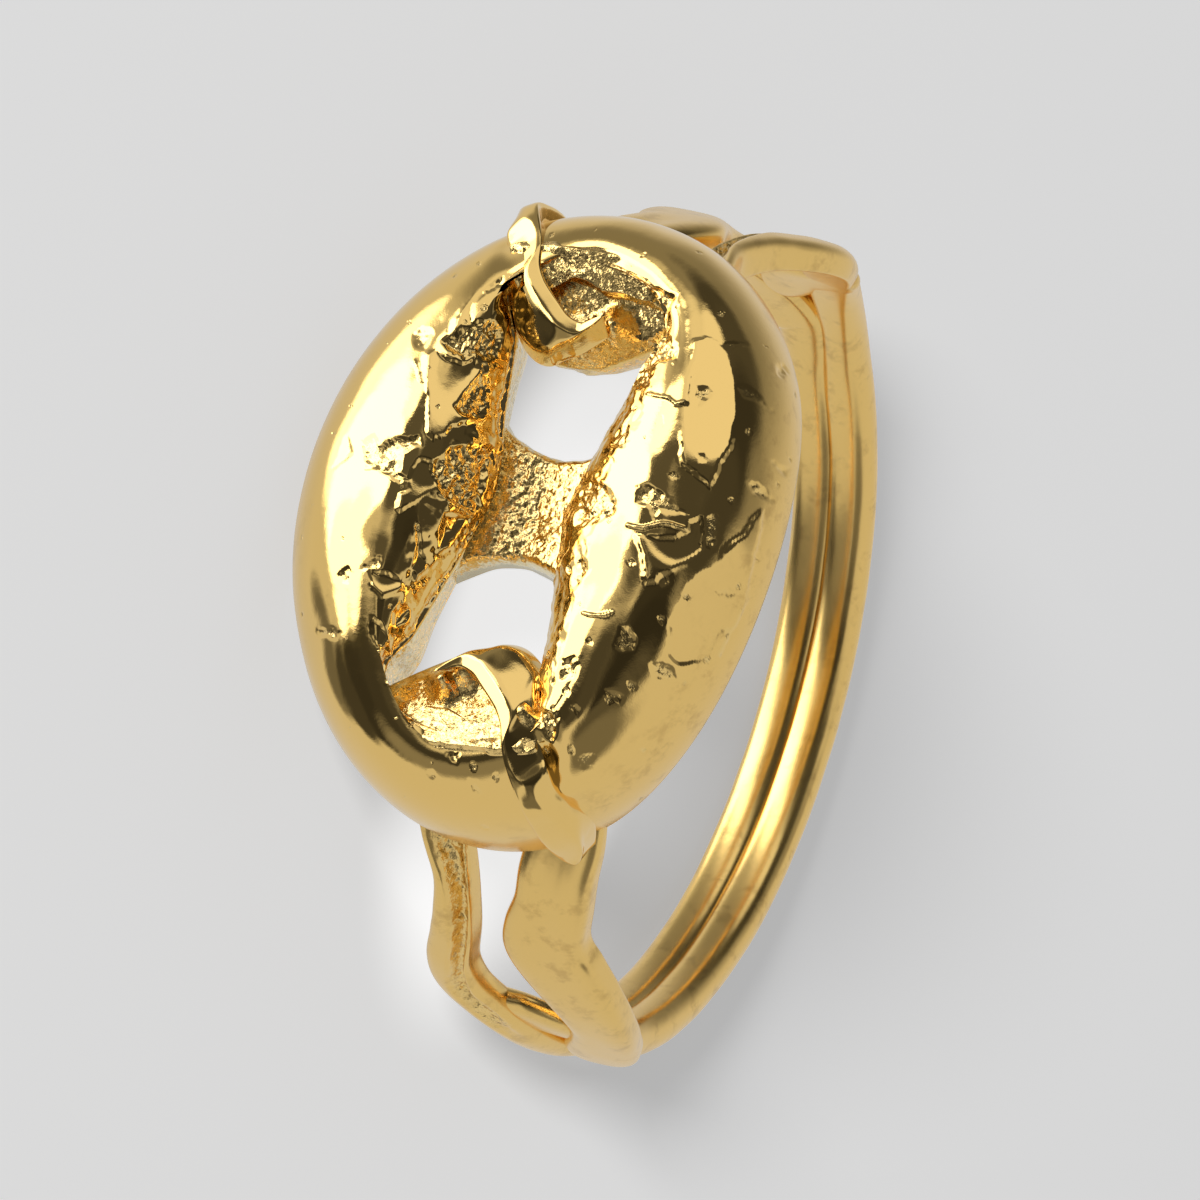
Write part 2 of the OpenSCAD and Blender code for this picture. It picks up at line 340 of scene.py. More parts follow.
# crystalline hollows with a crisp edge: crop, depth in mm, outline in the crop's pixels
hollows = {
    "aboveTall": ("left", .09, [
        (530, 250), (560, 225), (600, 205), (650, 190), (700, 180), (735, 200), (740, 240), (720, 300),
        (680, 310), (650, 300), (600, 310), (560, 290)]),
    "tallIsland": ("left", .05, [
        (570, 475), (600, 450), (620, 400), (660, 370), (690, 390), (695, 440), (690, 500), (650, 515),
        (600, 505)]),
    "bigBowl": ("left", .10, [
        (495, 670), (540, 640), (560, 620), (610, 610), (640, 620), (700, 615), (720, 640), (700, 700),
        (680, 760), (660, 820), (630, 850), (600, 830), (560, 800), (530, 770), (515, 740), (500, 700)]),
    "whiteCluster": ("left", .05, [
        (250, 600), (290, 575), (310, 620), (345, 590), (400, 580), (450, 580), (455, 610), (420, 620),
        (390, 640), (380, 700), (410, 730), (380, 740), (330, 710), (310, 690), (260, 690)]),
    "nearWhite": ("left", .03, [(180, 660), (200, 580), (205, 600), (225, 640), (150, 690)]),
    "whitePit": ("left", .04, [(430, 225), (460, 205), (490, 215), (480, 245), (465, 270), (440, 265)]),
    "whiteDent": ("left", .03, [(165, 1060), (200, 1035), (215, 1060), (205, 1090), (175, 1095)]),
    "lowDots": ("left", .03, [(90, 1250), (140, 1245), (175, 1265), (160, 1285), (100, 1275)]),
    "darkDots": ("left", .03, [(300, 1000), (320, 1000), (318, 1035), (290, 1045), (250, 1040)]),
    "rightBowl": ("right", .06, [
        (80, 760), (110, 740), (150, 760), (190, 790), (215, 830), (205, 870), (170, 890), (120, 905),
        (80, 920), (50, 915), (55, 870)]),
    "upperShelf": ("right", .07, [
        (300, 60), (370, 30), (430, 60), (400, 110), (385, 170), (370, 200), (400, 210), (435, 240),
        (430, 290), (370, 300), (340, 330), (325, 390), (300, 400), (270, 400), (290, 320), (320, 230),
        (310, 150), (290, 80)]),
    "clusterMiddle": ("right", .04, [
        (285, 770), (330, 760), (380, 790), (410, 820), (440, 850), (480, 870), (400, 870), (370, 860),
        (350, 890), (330, 840), (290, 830)]),
    "clusterRight": ("right", .04, [
        (540, 890), (580, 870), (600, 900), (590, 960), (570, 1010), (545, 1000), (535, 940)]),
    "tallPit": ("right", .04, [(510, 400), (550, 395), (580, 415), (545, 440), (515, 460), (505, 430)]),
    "tallDot": ("right", .03, [(515, 655), (540, 652), (545, 672), (522, 682)]),
    "middlePit": ("right", .04, [(365, 1095), (400, 1090), (410, 1130), (380, 1140)]),
    "upperLine": ("right", .02, [(590, 240), (640, 228), (690, 240), (640, 258)]),
    "sideLine": ("right", .02, [
        (670, 400), (700, 395), (740, 430), (790, 490), (770, 480), (730, 440), (690, 440)]),
    "rimPit": ("right", .05, [(815, 320), (840, 315), (850, 345), (830, 362), (810, 350)]),
    "rimDent": ("right", .04, [(800, 680), (830, 700), (855, 705), (840, 725), (815, 705)]),
    "brightPit": ("right", .05, [(710, 760), (740, 755), (770, 790), (795, 825), (770, 825), (725, 800)]),
    "lowPit": ("right", .04, [(590, 1160), (625, 1145), (655, 1170), (630, 1185), (595, 1180)]),
    "lowDent": ("right", .04, [(605, 1300), (630, 1285), (655, 1305), (645, 1335), (615, 1335)]),
    "darkPit": ("right", .06, [
        (200, 1370), (220, 1330), (230, 1300), (260, 1295), (280, 1340), (275, 1380), (240, 1385)]),
    "bottomPit": ("right", .04, [
        (340, 1440), (380, 1430), (420, 1450), (435, 1490), (400, 1495), (360, 1480)]),
    "stripDot": ("right", .02, [(365, 530), (380, 515), (390, 540), (375, 550)]),
    "lipPatch": ("right", .04, [(200, 580), (250, 540), (260, 600), (225, 630), (190, 615)]),
    "lipLow": ("right", .04, [(60, 1050), (100, 1045), (110, 1080), (80, 1110), (60, 1100)]),
    "lipBottom": ("right", .05, [(5, 1420), (50, 1405), (65, 1440), (50, 1480), (0, 1490)]),
    "besideHook": ("end", .07, [
        (660, 530), (740, 570), (830, 600), (820, 680), (800, 740), (780, 760), (740, 680), (690, 620)]),
    "endPit": ("end", .04, [(1080, 480), (1120, 475), (1170, 500), (1150, 540), (1100, 505)]),
    "endDot": ("end", .03, [(890, 560), (920, 550), (945, 570), (925, 600)]),
    "endLoop": ("end", .03, [(930, 830), (960, 800), (1010, 810), (1000, 870), (950, 870)]),
    "frontPit": ("end", .04, [(245, 800), (280, 785), (305, 810), (300, 850), (265, 845)]),
    "frontDent": ("end", .03, [(360, 950), (400, 955), (460, 1040), (430, 1030), (380, 1000)]),
    "frontDot": ("end", .03, [(145, 900), (170, 890), (190, 930), (165, 940)]),
}

# thin raised lines: height in mm, points in photograph pixels
ridges = {
    "acrossStrip": (.035, [(648, 394), (658, 396), (668, 398), (676, 404), (684, 402)]),
    "acrossLow": (.035, [(583, 613), (592, 615), (604, 615), (613, 612)]),
    "aboveMiddle": (.05, [(627, 525), (642, 528), (662, 523), (671, 524), (686, 529)]),
    "besideTall": (.02, [(415, 362), (418, 370), (421, 382)]),
    "underBowl": (.03, [(440, 494), (450, 502), (461, 507), (472, 516)]),
    "lowerSeam": (.02, [(741, 610), (737, 622), (726, 640), (719, 655)]),
    "shelfLine": (.03, [(388, 686), (392, 664), (396, 655)]),
}

# soft dishes of the bulge: x, y, z, radius, depth; the first four also stand at the other end
dishes = [
    (2.06, -5.05, 10.05, .34, .20), (2.26, -5.50, 9.95, .34, .26), (2.34, -5.95, 9.60, .34, .20),
    (2.60, -6.15, 8.70, .40, .08), (-1.45, 4.30, 10.30, .60, .14), (3.95, .90, 10.75, .70, .05),
    (-2.35, -1.75, 11.00, .55, .05), (2.60, -1.60, 11.05, .60, .05), (-3.9, -3.9, 9.9, .9, .06),
    (3.6, -3.2, 10.5, .8, .05),
]

small = {
    "count": 150,                    # pin holes scattered over the whole link
    "radius": (.025, .075),
    "depth": (.010, .035),
}


def lineDistance(x, y, points):
    # how far each place is from a bent line, in mm
    nearest = np.full(x.shape, 1e9)
    for (ax, ay), (bx, by) in zip(points[:-1], points[1:]):
        ex, ey = bx - ax, by - ay
        along = np.clip(((x - ax) * ex + (y - ay) * ey) / (ex * ex + ey * ey), 0, 1)
        nearest = np.minimum(nearest, np.hypot(x - ax - along * ex, y - ay - along * ey))
    return nearest / camera["pixelsPerMm"]


def outlineDepth(x, y, outline):
    # how far inside a closed outline each place lies, negative outside
    closed = [*outline, outline[0]]
    inside = np.zeros(x.shape, bool)
    for (ax, ay), (bx, by) in zip(closed[:-1], closed[1:]):
        crosses = (ay > y) != (by > y)
        inside ^= crosses & (x < ax + (y - ay) * (bx - ax) / ((by - ay) or 1e-9))
    away = lineDistance(x, y, closed)
    return np.where(inside, away, -away)


def near(view, points):
    # the places of the grid that the photograph shows close to a picked outline
    px, py, faced = view
    margin = 8
    low, high = np.min(points, 0) - margin, np.max(points, 0) + margin
    return np.nonzero(faced & (px > low[0]) & (px < high[0]) & (py > low[1]) & (py < high[1]))


def scatter(points, count, seed):
    # evenly spread, repeatable places picked from the grid
    i = (((np.arange(count) * 0.6180339887 + seed * 0.137) % 1.0) * points.shape[0]).astype(int)
    j = (((np.arange(count) * 0.7548776662 + seed * 0.311) % 1.0) * (sum(link["rows"][:2]) - 12)).astype(int)
    return points[i, j]


def zoneEdge(table, t):
    whole = np.array(table, float)[:, None]
    whole = np.concatenate([whole[-2:], whole, whole[:4]])
    return followTable(whole, (np.degrees(t) % 360) / 30 + 2)[..., 0]


def broadMove(grid, zone, t, onTop):
    # broad lumps of the hand-worked wax, soft dishes and the hammered skin
    lump = 0.8 * lumps(grid, 2.1, 3) + 0.35 * lumps(grid, 1.0, 5)
    move = link["lumpHeight"] * lump * (0.15 + 0.85 * onTop)
    for k, (x, y, z, radius, depth) in enumerate(dishes):
        for side, share in (((1, 1.0), (-1, 0.3)) if k < 4 else ((1, 1.0),)):
            away = np.linalg.norm(grid - np.array([x * side, y * side, z]), axis=-1)
            move = move - share * depth * np.exp(-(away / radius) ** 2) * (zone < 2.05)
    hammered = smooth((zone - zoneEdge(link["hammered"], t)) / 0.12) * (zone < 2)
    dimples = lumps(grid, 0.42, 44) + 0.7 * lumps(grid, 0.21, 45) + 0.35 * lumps(grid, 0.11, 46)
    return move + link["hammering"] * hammered * dimples


def pressFlats(grid, view, fine):
    # flats with crisp outlines
    px, py, faced = view
    for crop, faces, outline in plates.values():
        outline = outlineInPhoto(crop, outline)
        at = near(view, outline)
        depth = outlineDepth(px[at], py[at], outline) + fine[at]
        faces = unit(np.array(faces))
        level = (grid[at][depth > 0] @ faces).mean() - 0.02 + 0.012 * lumps(grid[at], 0.45, 66)
        push = 0.07 * np.tanh((level - grid[at] @ faces) / 0.07)
        grid[at] += faces * (push * smooth(depth / 0.12 + 0.45))[:, None]


def cutShelf(grid, normal, zone, t):
    # shelf beside the slot, where the polished skin stops short of the lip
    edge = zoneEdge(link["shelf"], t)
    for height, size, seed in ((0.06, 0.75, 63), (0.035, 0.26, 64), (0.014, 0.1, 60)):
        edge = edge + height * lumps(grid, size, seed)
    shelf = smooth((zone - edge) / 0.025) * smooth((2.0 - zone) / 0.02)
    bead = np.exp(-((zone - edge + 0.012) / 0.018) ** 2) * (zone < 2)
    grid = grid + normal * (0.018 * bead - link["shelfDrop"] * shelf)[..., None]
    beads = 0.022 * lumps(grid, 0.20, 58) + 0.016 * lumps(grid, 0.10, 59)
    return grid + normal * (beads * shelf)[..., None], shelf


def sinkHollows(grid, view, fine, grain):
    # crystalline hollows and raised lines
    px, py, faced = view
    sink = np.zeros(grain.shape)
    for crop, deep, outline in hollows.values():
        outline = outlineInPhoto(crop, outline)
        at = near(view, outline)
        inside = smooth((outlineDepth(px[at], py[at], outline) + fine[at]) / 0.20 + 0.35)
        melted = 1 - 0.5 * lumps(grid[at], 0.15, 67) - 0.3 * lumps(grid[at], 0.08, 68)
        sink[at] = np.maximum(sink[at], deep * inside * melted)
        grain[at] = np.maximum(grain[at], 0.50 * inside)
    for height, points in ridges.values():
        at = near(view, points)
        away = lineDistance(px[at], py[at], points) + 0.4 * fine[at]
        sink[at] -= height * np.exp(-(away / 0.032) ** 2)
        grain[at] = np.maximum(grain[at], 0.6 * np.exp(-(away / 0.05) ** 2))
    return sink


def pinHoles(grid, fine, grain, sink):
    for k, place in enumerate(scatter(grid, small["count"], 4)):
        size = (k * 0.3819 + 0.2) % 1.0
        radius = small["radius"][0] + (small["radius"][1] - small["radius"][0]) * size ** 2
        deep = small["depth"][0] + (small["depth"][1] - small["depth"][0]) * size
        away = np.linalg.norm(grid - place, axis=-1)
        at = np.nonzero(away < radius * 2.5)
        inside = smooth((radius - away[at] + 1.2 * fine[at]) / (0.5 * radius) + 0.4)
        sink[at] = np.maximum(sink[at], deep * inside)
        grain[at] = np.maximum(grain[at], 0.7 * inside)


def shapeLink():
    grid, zone = linkGrid()
    normal = gridNormals(grid)
    if (normal[0, 10] * (grid[0, 10] - np.array([2.75, 0, 9.5]))).sum() < 0:
        normal = -normal
    t = np.linspace(0, 2 * np.pi, grid.shape[0], endpoint=False)[:, None]
    onTop = smooth((zone - 0.40) / 0.4) * smooth((2.02 - zone) / 0.06)
    wall = smooth((zone - 2.0) / 0.03) * smooth((3.0 - zone) / 0.15)
    free = smooth(zone / 0.12) * (1 - smooth((zone - 2.95) / 0.05))
    grid = grid + normal * (broadMove(grid, zone, t, onTop) * free)[..., None]

    # the relief goes only where the camera sees the skin
    outward = gridNormals(grid)
    facing = outward @ cameraBack * np.sign((outward * normal).sum(-1))
    view = (*seen(grid), (zone > 0.05) & (zone < 2.0) & (facing > 0.02))
    fine = 0.030 * lumps(grid, 0.22, 61) + 0.016 * lumps(grid, 0.09, 62)
    pressFlats(grid, view, fine)
    grid, shelf = cutShelf(grid, normal, zone, t)
    grain = shelf * np.clip(0.40 + 0.5 * lumps(grid, 0.4, 65), 0.1, 0.8)
    sink = sinkHollows(grid, view, fine, grain)
    pinHoles(grid, fine, grain, sink)
    grid = grid - normal * (sink * free)[..., None]

    # rolled lip, undercut and coarse wall of the slot
    lip = np.exp(-((zone - 1.985) / 0.022) ** 2)
    under = np.exp(-((zone - 2.10) / 0.06) ** 2)
    grid = grid + normal * (link["lipBead"] * lip - link["undercut"] * under)[..., None]
    grain = np.maximum(grain * (1 - 0.8 * lip), wall * 0.5)
    tooth = link["grain"] * grain * (0.9 * lumps(grid, 0.17, 13) + 0.9 * lumps(grid, 0.085, 17))
    skin = 0.0004 * lumps(grid, 0.09, 19) + 0.003 * lumps(grid, 0.4, 20) * onTop
    grid = outOfBore(grid + normal * ((tooth + skin) * free)[..., None])
    shading = gridNormals(grid)
    shading *= np.sign((shading * normal).sum(-1, keepdims=True))
    # finish: satin low on the outer slope; below zero it is painted light, a paler gold on the slot wall and
    # the shelf
    finishAndPaintedLight = 1 - smooth((zone - 0.15) / 0.55) - np.clip(wall + 0.35 * shelf, 0, 1)
    return grid, np.clip(grain, 0, 1), finishAndPaintedLight, shading


# hooks, shoulders and wires

strand = {
    "step": 0.06,
    "around": 80,
    "wireRadius": 0.57,
    "wireSpacing": 0.86,
    "plainEnd": (0, 0, .35, 0),      # twist and groove of the rows below that stop before them
    # x, distance from the finger axis, angle round it, width, thickness, squareness of the section,
    # twist in degrees, groove: place across (-1 outer side, 1 side of the gap), half width, depth
    "nearShoulder": [
        (2.10, 8.78, -32, 1.0, .30, 3.0, 0, 0, .3, 0), (2.02, 8.80, -38, 1.4, .48, 3.2, 0, 0, .3, 0),
        (1.88, 8.87, -44, 1.66, .72, 3.4, 0, .1, .35, .03),
        (1.66, 8.95, -50, 1.72, .90, 3.6, 0, .1, .35, .06),
        (1.48, 8.97, -56, 1.74, .94, 4.0, 0, .1, .35, .05),
        (1.24, 8.97, -61, 1.90, .94, 4.0, 0, 0, .35, .02), (1.17, 8.96, -65, 2.06, .94, 4.0),
        (1.34, 8.96, -69, 2.06, .94, 4.0), (1.58, 8.97, -75, 1.86, .94, 3.8),
        (1.70, 8.99, -81, 1.62, .94, 3.6), (1.64, 9.00, -87, 1.52, .96, 3.2),
        (1.36, 9.03, -93, 1.58, .98, 3.0), (1.04, 9.07, -98, 1.70, 1.00, 3.0),
        (.74, 9.10, -102, 1.70, 1.02, 2.8), (.52, 9.12, -105.5, 1.62, 1.02, 2.6),
        (.42, 9.11, -108, 1.38, .88, 2.4), (.38, 9.07, -109.5, .95, .55, 2.2),
    ],
    "wireStart": [
        (.72, 9.06, -95, .5, .5, 2.0), (.46, 9.08, -101, 1.1, .84, 2.0), (.34, 9.09, -106, 1.36, .92, 2.0),
        (.36, 9.11, -112, 1.28, .98, 2.0), (.41, 9.18, -118, 1.16, 1.08, 2.0),
    ],
    "farShoulder": [
        (.50, 9.20, 115, 1.06, 1.10, 2.0, 0, .5, .2, 0), (.62, 9.19, 108, 1.0, 1.08, 2.1, 0, .5, .2, 0),
        (.72, 9.15, 102, 1.06, 1.06, 2.2, 0, .5, .2, 0), (.86, 9.11, 96, 1.18, 1.04, 2.2, 4, .5, .2, 0),
        (1.06, 9.07, 90, 1.30, 1.0, 2.3, 8, .45, .32, .12),
        (1.30, 9.02, 85, 1.34, .98, 2.5, 10, .40, .36, .26),
        (1.50, 8.98, 79.5, 1.28, .94, 2.9, 10, .35, .32, .34),
        (1.44, 8.97, 73, 1.12, .90, 3.4, 8, .50, .24, .34),
        (1.13, 9.00, 66, 1.04, .93, 3.6, 6, .55, .26, .36),
        (.95, 9.02, 61, .94, .94, 3.8, 4, .50, .34, .40), (.83, 9.04, 54, .84, 1.00, 3.8, 2, .40, .46, .44),
        (.95, 9.06, 47, 1.02, 1.05, 3.8, 0, .28, .66, .44),
        (1.04, 9.18, 40, 1.20, .95, 3.4, 0, .2, .60, .25),
    ],
    # smooth mass on the inner side of the far shoulder, laid across the band
    "innerPad": [
        (-.72, 8.98, 97.5, .7, .40, 2.2), (-.45, 8.96, 96, 1.2, .58, 2.4), (0, 8.95, 92.6, 1.5, .62, 2.6),
        (.5, 8.95, 89.6, 1.55, .62, 2.6), (1.0, 8.95, 89.0, 1.55, .62, 2.6),
        (1.36, 8.95, 88.0, 1.4, .60, 2.4), (1.62, 8.98, 87.0, 1.0, .50, 2.2), (1.74, 9.0, 86.6, .5, .3, 2.0),
    ],
    "grooveGrain": 0.030,
    "finishAndPaintedLight": 1.0,
}


def roundTheFinger(rows):
    rows = np.array([(*row, *strand["plainEnd"][len(row) - 6:]) for row in rows], float)
    angle = np.radians(rows[:, 2])
    place = np.stack([rows[:, 0], rows[:, 1] * np.sin(angle), rows[:, 1] * np.cos(angle)], -1)
    return np.concatenate([place, rows[:, 3:]], 1)


def keepOffFinger(points, soft):
    # eases every point out of the finger hole without leaving a sharp edge
    radius = link["boreRadius"] + 0.004
    gap = np.hypot(points[..., 1], points[..., 2]) - radius
    eased = 0.5 * (gap + np.sqrt(gap * gap + soft * soft))
    points[..., 1:] *= (1 + (eased - gap) / (gap + radius))[..., None]
    return points


def evenSteps(table):
    path = followTable(table, np.linspace(0, len(table) - 1, 5000))
    length = runningLength(path[:, :3])
    return evenlyAlong(path, length, int(length[-1] / strand["step"]))


def roundedSquare(square):
    # points spread evenly round a superellipse, one section for each squareness
    a = np.linspace(0, 2 * np.pi, 721)
    circle = np.stack([np.cos(a), np.sin(a)], -1)
    sections = []
    for n in np.clip(square, 2.0, 5.0):
        path = np.sign(circle) * np.abs(circle) ** (2 / n)
        sections.append(evenlyAlong(path, runningLength(path), strand["around"], endpoint=False))
    return np.array(sections)


def bandGrid(table):
    path = evenSteps(table)
    along = np.gradient(path[:, :3], axis=0)
    for step in range(60):                       # keeps the sections apart where the strand bends sharply
        along[1:-1] = (along[:-2] + 2 * along[1:-1] + along[2:]) / 4
    along = unit(along)
    side = unit(np.cross(along, unit(path[:, :3] * [0, 1, 1])))
    up = np.cross(side, along)
    twist = np.radians(path[:, 6])[:, None]
    side, up = side * np.cos(twist) + up * np.sin(twist), up * np.cos(twist) - side * np.sin(twist)
    section = roundedSquare(path[:, 5])
    place, half, depth = (path[:, i:i + 1] for i in (7, 8, 9))
    depth = np.clip(depth, 0, 1)
    groove = np.exp(-(np.abs(section[..., 0] - place) / half) ** 3) * smooth(section[..., 1] / 0.5)
    across = section[..., 0] * path[:, 3:4] / 2
    height = section[..., 1] * path[:, 4:5] / 2 - depth * groove
    grid = path[:, None, :3] + side[:, None] * across[..., None] + up[:, None] * height[..., None]
    return grid, smooth(groove / 0.5) * smooth((depth - 0.06) / 0.1)


def shapeBand(table, soft):
    grid, rough = bandGrid(table)
    normal = gridNormals(grid, closedColumns=False)
    top = len(grid) // 2, strand["around"] // 4
    if (normal[top] * grid[top])[1:].sum() < 0:
        normal = -normal
    move = 0.020 * lumps(grid, 2.0, 23) + 0.007 * lumps(grid, 0.7, 29)
    move += strand["grooveGrain"] * rough * (lumps(grid, 0.2, 24) + 0.8 * lumps(grid, 0.1, 25))
    return keepOffFinger(grid + normal * move[..., None], soft), rough * 0.7


def shapeStrand():
    thick = 2 * strand["wireRadius"]
    place = strand["wireSpacing"] / 2, link["boreRadius"] + strand["wireRadius"] - 0.03
    wire = roundTheFinger([(*place, angle, thick, thick, 2.0) for angle in np.arange(-125, -239, -7)])
    shoulder = shapeBand(roundTheFinger(strand["nearShoulder"]), 0.10)
    table = np.concatenate([roundTheFinger(strand["wireStart"]), wire, roundTheFinger(strand["farShoulder"])])
    return [shoulder, shapeBand(table, 0.12), shapeBand(roundTheFinger(strand["innerPad"]), 0.06)]


# Hook over the end of the slot, from its tip to the tongue on the end of the link. Each section has its
# lower left edge, ridge and right edge: two pixels in an enlarged crop of the photograph, then about how far
# each stands towards the camera from the middle of the ring, in mm. The arch's points were picked one by one.
hook = {
    "crop": "arch",
    "arch": [
        ((112, 238, 10.05), (112, 232, 10.03), (116, 229, 9.98)),
        ((150, 234, 10.10), (165, 205, 10.06), (166, 198, 9.98)),
        ((195, 228, 10.15), (215, 182, 10.16), (224, 170, 9.98)),
        ((235, 250, 10.28), (262, 195, 10.30), (287, 158, 9.86)),
        ((262, 290, 10.46), (300, 240, 10.56), (340, 148, 9.94)),
        ((285, 325, 10.62), (335, 290, 10.78), (395, 168, 10.12)),
        ((310, 370, 10.74), (362, 345, 10.90), (440, 222, 10.28)),
        ((325, 420, 10.80), (372, 395, 10.95), (447, 285, 10.44)),
        ((330, 470, 10.82), (345, 464, 10.92), (452, 400, 10.56)),
        ((335, 510, 10.90), (356, 522, 11.00), (462, 450, 10.66)),
        ((345, 560, 10.96), (382, 585, 11.08), (480, 510, 10.74)),
    ],
    # mostly printed by a program rather than picked, and still to be picked again
    "tongue": [
        ((370, 640, 10.95), (425, 625, 11.05), (490, 572, 11.00)),
        ((400, 705, 10.80), (472, 692, 10.85), (513, 628, 10.70)),
        ((437, 772, 10.15), (523, 734, 10.45), (546, 674, 10.45)),
        ((480, 830, 9.45), (585, 795, 9.85), (598, 738, 9.90)),
        ((535, 872, 8.70), (605, 843, 9.20), (612, 798, 9.30)),
        ((576, 884, 8.65), (598, 868, 8.80), (607, 851, 8.85)),
    ],
    # ways that the facets of the arch face: 0 left or 1 right of the ridge, first and last section,
    # direction, how firmly
    "facets": [
        (0, 2, 6, (-.30, -.12, .945), 1.0), (0, 7, 7, (-.30, -.10, .945), 0.5),
        (0, 8, 9, (-.20, -.20, .95), 0.3), (1, 0, 2, (-.10, .40, .90), 0.2),
        (1, 3, 6, (.33, .45, .83), 0.6), (1, 7, 7, (.36, .10, .93), 0.5),
        (1, 8, 9, (.36, -.22, .90), 0.9),
    ],
    "keepDepth": (0.90, 0.90, 0.54),  # how firmly left edge, ridge and right edge keep the depths above
    "evenDepth": 0.5,                 # how firmly the depths run evenly from section to section
    "thickness": 0.70,
    "around": 100,
    "rounding": 22,
    "grain": 0.004,
    "finishAndPaintedLight": 0.15,
}


def onSightLine(x, y, depth):
    # the place on the camera's sight line through a crop's pixel that stands this far towards the camera
    across, down = inPhoto(hook["crop"], x, y)
    size = (camera["distance"] - depth) / camera["distance"] / camera["pixelsPerMm"]
    across = (across - camera["centre"][0]) * size
    upward = (camera["centre"][1] - down) * size
    return across[..., None] * cameraRight + upward[..., None] * cameraUp + depth[..., None] * cameraBack


def archMiss(depth, picked):
    # what the facets, the depths and their evenness still miss
    corner = onSightLine(picked[..., 0], picked[..., 1], depth)
    miss = [(hook["keepDepth"] * (depth - picked[..., 2])).ravel(),
            (hook["evenDepth"] * np.diff(depth, 2, axis=0)).ravel()]
    for side, first, last, faces, firmness in hook["facets"]:
        edge, other = corner[:, side], corner[:, side + 1]
        for i in range(first, last + 1):
            along = edge[i + 1] - edge[i] + other[i + 1] - other[i]
            across = other[i] - edge[i] + other[i + 1] - edge[i + 1]
            normal = np.cross(along, across)
            normal *= np.sign(normal[2]) / np.linalg.norm(normal)
            miss.append(firmness * (normal - unit(np.array(faces))))
    return np.concatenate(miss)


def settleArch():
    # eases the depths of the arch by least squares until its facets face as chosen
    picked = np.array(hook["arch"])
    depth = picked[..., 2].copy()
    nudge = 0.0001
    nudges = nudge * np.eye(depth.size).reshape(-1, *depth.shape)
    for step in range(12):
        now = archMiss(depth, picked)
        slope = np.array([(archMiss(depth + one, picked) - now) / nudge for one in nudges]).T
        depth = depth - 0.8 * np.linalg.lstsq(slope, now, rcond=None)[0].reshape(depth.shape)
    return onSightLine(picked[..., 0], picked[..., 1], depth)


def shapeHook():
    tongue = np.array(hook["tongue"])
    tongue = onSightLine(tongue[..., 0], tongue[..., 1], tongue[..., 2])
    path = evenSteps(np.concatenate([settleArch(), tongue]).reshape(-1, 9))
    left, ridge, right = path[:, :3], path[:, 3:6], path[:, 6:9]
    middle = (left + right) / 2
    corners = [left, ridge, right]
    for edge in (right, left):
        inward = 1 - hook["thickness"] / np.hypot(edge[:, 1:2], edge[:, 2:])
        corners.append(edge * [1, 0, 0] + edge * [0, 1, 1] * inward)
    corners = np.stack(corners, 1)
    part = np.linspace(0, 1, hook["around"] // 5, endpoint=False)[:, None]
    grid = corners[:, :, None] * (1 - part) + np.roll(corners, -1, 1)[:, :, None] * part
    grid = softened(grid.reshape(len(path), hook["around"], 3), hook["rounding"], 1)
    normal = gridNormals(grid, closedColumns=False)
    outward = np.sign((normal * (grid - middle[:, None])).sum(-1).mean())
    move = 0.006 * lumps(grid, 0.7, 27) + hook["grain"] * lumps(grid, 0.3, 28)
    return grid + normal * (move * outward)[..., None], np.zeros(grid.shape[:2])


# crossbar and the beds under the hooks

bar = {
    "top": 9.18,
    "crease": 0.05,                  # beyond it the top rises towards the right-hand lobe
    "rise": (0.05, 0.27),            # slopes left and right of the crease
    "waist": 1.22,
    "root": 1.80,
    "rootAt": 1.5,                   # half width is waist in the middle and root this far out
    "reach": 1.55,
    "corner": 0.16,
    "grain": 0.028,
}


def shapeBar():
    xs = np.linspace(-bar["reach"], bar["reach"], 130)
    half = bar["waist"] + (bar["root"] - bar["waist"]) * (xs / bar["rootAt"]) ** 2
    u = np.linspace(-1, 1, 110)
    topY = half[:, None] * u[None]
    lowZ = boreTop(topY, 0.01)
    dome = np.sqrt(np.clip(1 - (np.abs(u) - 1 + bar["corner"]).clip(0) ** 2 / bar["corner"] ** 2, 0, 1))
    beyond = xs[:, None] - bar["crease"] - 0.08 * topY / 1.2
    top = bar["top"] + np.where(beyond > 0, bar["rise"][1] * beyond, -bar["rise"][0] * beyond)
    topZ = lowZ + (top - lowZ) * (0.55 + 0.45 * dome)[None]
    top = np.stack([np.broadcast_to(xs[:, None], topY.shape), topY, topZ], -1)
    low = np.stack([top[..., 0], topY, lowZ], -1)[:, ::-1]
    grid = np.concatenate([top, low], 1)
    up = np.concatenate([np.ones(len(u)), np.zeros(len(u))])[None]
    calm = 1 - 0.55 * smooth((grid[..., 0] - bar["crease"]) / 0.15)
    move = bar["grain"] * calm * (0.7 * lumps(grid, 0.16, 31) + 0.7 * lumps(grid, 0.08, 37))
    grid[..., 2] += (move + 0.03 * lumps(grid, 0.7, 41)) * up
    grid[..., 1] += 0.05 * lumps(grid, 0.4, 43)
    grid = outOfBore(grid, 0.01)
    # the last grid is painted light: below zero along the crossbar's long edges, where the gold is made paler
    return grid, calm, -smooth((np.abs(grid[..., 1]) - half[:, None] * 0.9) / 0.1)


